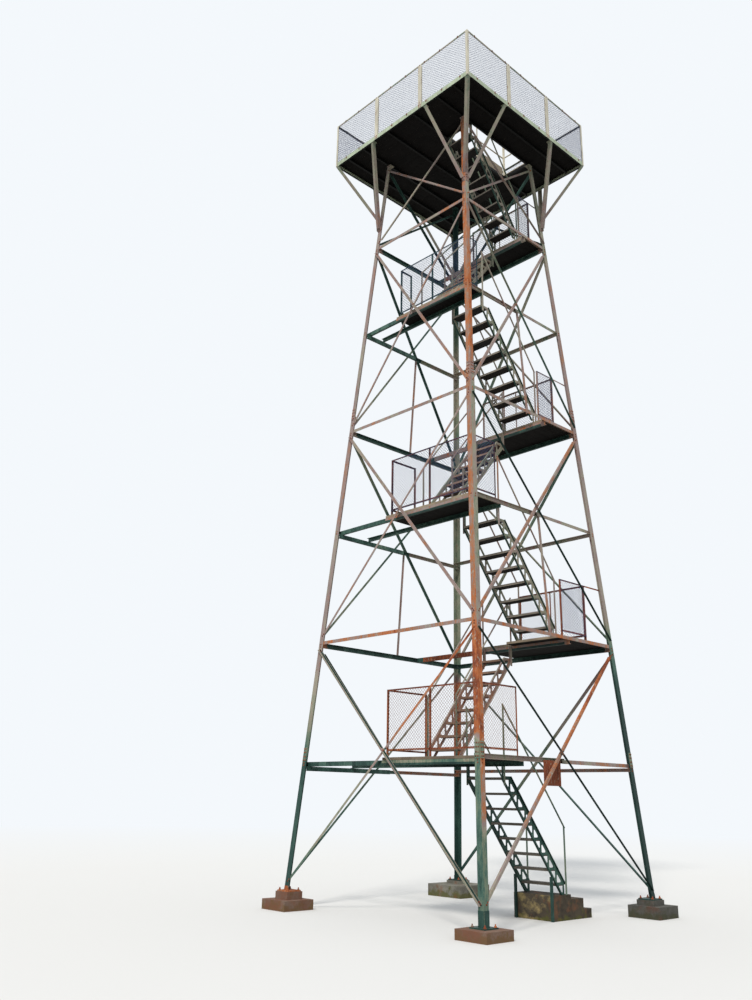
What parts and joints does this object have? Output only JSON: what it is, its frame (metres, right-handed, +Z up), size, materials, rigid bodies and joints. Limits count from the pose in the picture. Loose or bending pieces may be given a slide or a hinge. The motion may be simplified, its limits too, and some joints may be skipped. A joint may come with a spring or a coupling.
{
  "type": "fire lookout tower",
  "caption": "Open steel lookout tower with four braced angle legs, zigzag lattice stairs between small landings, and a square railed deck on top.",
  "frame": {"origin": "middle of the tower's square plan, on the ground under the footings", "axes": "+Z up; +X along the front face from the front leg to the right leg, +Y from the front leg to the left leg"},
  "size_m": [5.194, 5.194, 16.859],
  "materials": {
    "green_steel": "painted, rusty in places",
    "rail_steel": "painted and weathered",
    "stair_steel": "painted and weathered",
    "pale_green_steel": "painted",
    "cream_steel": "painted",
    "rusty_steel": "rusty",
    "wire_mesh": "galvanised",
    "deck_wood": "weathered boards",
    "tread_wood": "weathered boards",
    "concrete": "rough concrete"
  },
  "bodies": {
    "root": {"footings": "concrete", "step_block": "concrete", "base_shoes": "rusty_steel", "leg_front": "green_steel", "leg_right": "green_steel", "leg_back": "green_steel", "leg_left": "green_steel", "splices_and_washers": "green_steel", "braces_front_right": "green_steel", "braces_right_back": "green_steel", "braces_back_left": "green_steel", "braces_left_front": "green_steel", "hangers": "green_steel", "level_1_frame": "green_steel", "level_2_frame": "green_steel", "level_3_frame": "green_steel", "level_4_frame": "green_steel", "level_5_frame": "green_steel", "level_6_frame": "green_steel", "landing_1_deck": "deck_wood", "landing_2_deck": "deck_wood", "landing_3_deck": "deck_wood", "landing_4_deck": "deck_wood", "landing_5_deck": "deck_wood", "landing_6_deck": "deck_wood", "flight_1_stringers": "stair_steel", "flight_2_stringers": "stair_steel", "flight_3_stringers": "stair_steel", "flight_4_stringers": "stair_steel", "flight_5_stringers": "stair_steel", "flight_6_stringers": "stair_steel", "flight_7_stringers": "stair_steel", "odd_flight_treads": "tread_wood", "even_flight_treads": "tread_wood", "stair_handrails": "rail_steel", "odd_landing_rails": "rail_steel", "even_landing_rails": "rail_steel", "landing_mesh": "wire_mesh", "top_deck_frame": "pale_green_steel", "top_deck_planks": "deck_wood", "top_deck_struts": "pale_green_steel", "guard_posts": "cream_steel", "guard_rail": "cream_steel", "guard_mesh": "wire_mesh", "hatch_rail": "cream_steel"}
  },
  "joints": []
}
